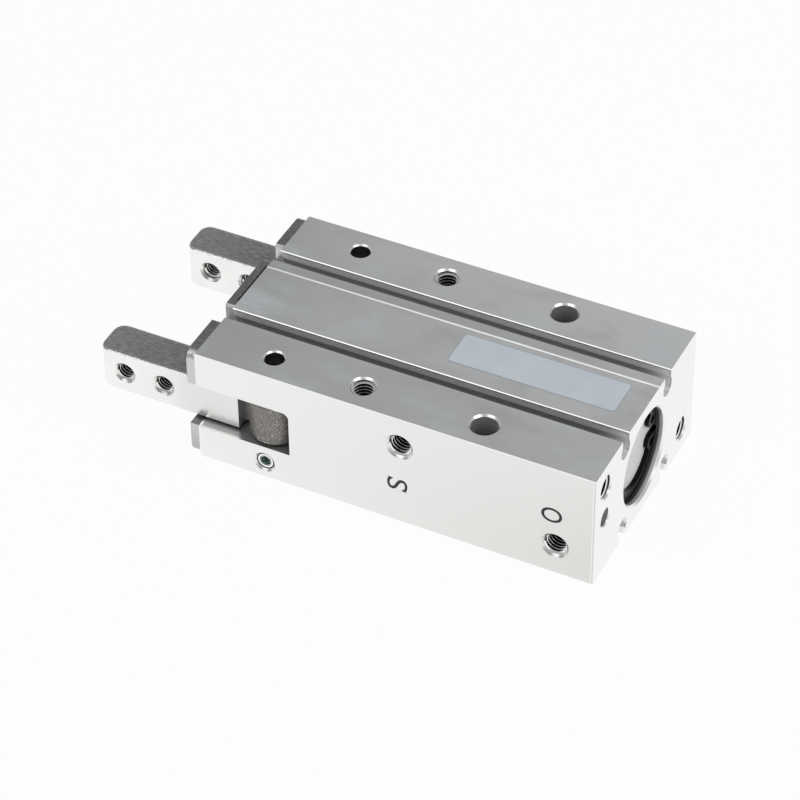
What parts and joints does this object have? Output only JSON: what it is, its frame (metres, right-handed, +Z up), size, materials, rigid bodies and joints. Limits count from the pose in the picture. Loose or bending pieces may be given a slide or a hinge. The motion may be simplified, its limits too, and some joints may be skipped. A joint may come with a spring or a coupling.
{
  "type": "pneumatic angular gripper",
  "caption": "Pneumatic angular gripper: an aluminium block with an air cylinder inside, whose two steel fingers swing wide open from a parallel grip by cam.",
  "frame": {"origin": "centre of the rear mounting face, on the cylinder's axis", "axes": "+X along the cylinder towards the fingers, +Z up through the top face, +Y towards the side with the air ports"},
  "size_m": [0.1118, 0.05, 0.0272],
  "materials": {
    "body_aluminium": "clear anodised, satin drawn top and finely milled sides",
    "plate_steel": "stamped sheet steel, dark speckled edges",
    "screw_steel": "zinc-plated steel",
    "cap_aluminium": "turned and clear anodised",
    "seal_rubber": "matt black rubber",
    "ring_steel": "blackened spring steel",
    "stop_rubber": "matt black rubber",
    "shaft_steel": "hardened and ground steel",
    "set_screw_steel": "plated steel with a dark green tint",
    "piston_aluminium": "turned",
    "magnet": "bonded magnet compound",
    "wear_plastic": "pale low-friction plastic",
    "rod_steel": "ground and polished",
    "nut_steel": "zinc-plated steel",
    "crosshead_steel": "milled tool steel",
    "pin_steel": "hardened and ground steel",
    "roller_steel": "hardened steel",
    "finger_steel": "heat-treated steel, scratched dark top, bright sides"
  },
  "bodies": {
    "block": {"body": "body_aluminium", "end_plate": "plate_steel", "end_plate_screws": "screw_steel", "rear_cap": "cap_aluminium", "cap_gasket": "seal_rubber", "retaining_ring": "ring_steel", "rear_bumper": "stop_rubber", "front_bumper": "stop_rubber", "rod_seal": "seal_rubber", "shaft_near": "shaft_steel", "shaft_far": "shaft_steel", "shaft_set_screws": "set_screw_steel"},
    "plunger": {"piston": "piston_aluminium", "piston_seal": "seal_rubber", "magnet_ring": "magnet", "wear_ring": "wear_plastic", "piston_rod": "rod_steel", "piston_nut": "nut_steel", "crosshead": "crosshead_steel", "roller_pins": "pin_steel"},
    "near_roller": {"roller_near": "roller_steel"},
    "far_roller": {"roller_far": "roller_steel"},
    "near_jaw": {"finger_near": "finger_steel"},
    "far_jaw": {"finger_far": "finger_steel"}
  },
  "joints": [
    {"name": "piston_slide", "type": "slide", "parent": "block", "child": "plunger", "axis": [1, 0, 0], "range_m": [-0.00021, 0.01288]},
    {"name": "near_finger_hinge", "type": "hinge", "parent": "block", "child": "near_jaw", "pos_m": [0.0726, 0.019, 0], "axis": [0, 0, 1], "range_deg": [-1.5, 90]},
    {"name": "far_finger_hinge", "type": "hinge", "parent": "block", "child": "far_jaw", "pos_m": [0.0726, -0.019, 0], "axis": [0, 0, -1], "range_deg": [-1.5, 90]},
    {"name": "near_roller_spin", "type": "hinge", "parent": "plunger", "child": "near_roller", "pos_m": [0.071, 0.0108, 0], "axis": [0, 0, 1], "continuous": true},
    {"name": "far_roller_spin", "type": "hinge", "parent": "plunger", "child": "far_roller", "pos_m": [0.071, -0.0108, 0], "axis": [0, 0, 1], "continuous": true}
  ],
  "couplings": [
    {"joint": "near_finger_hinge", "follows": "piston_slide", "rad_per_m": 121.95},
    {"joint": "far_finger_hinge", "follows": "piston_slide", "rad_per_m": 121.95}
  ]
}
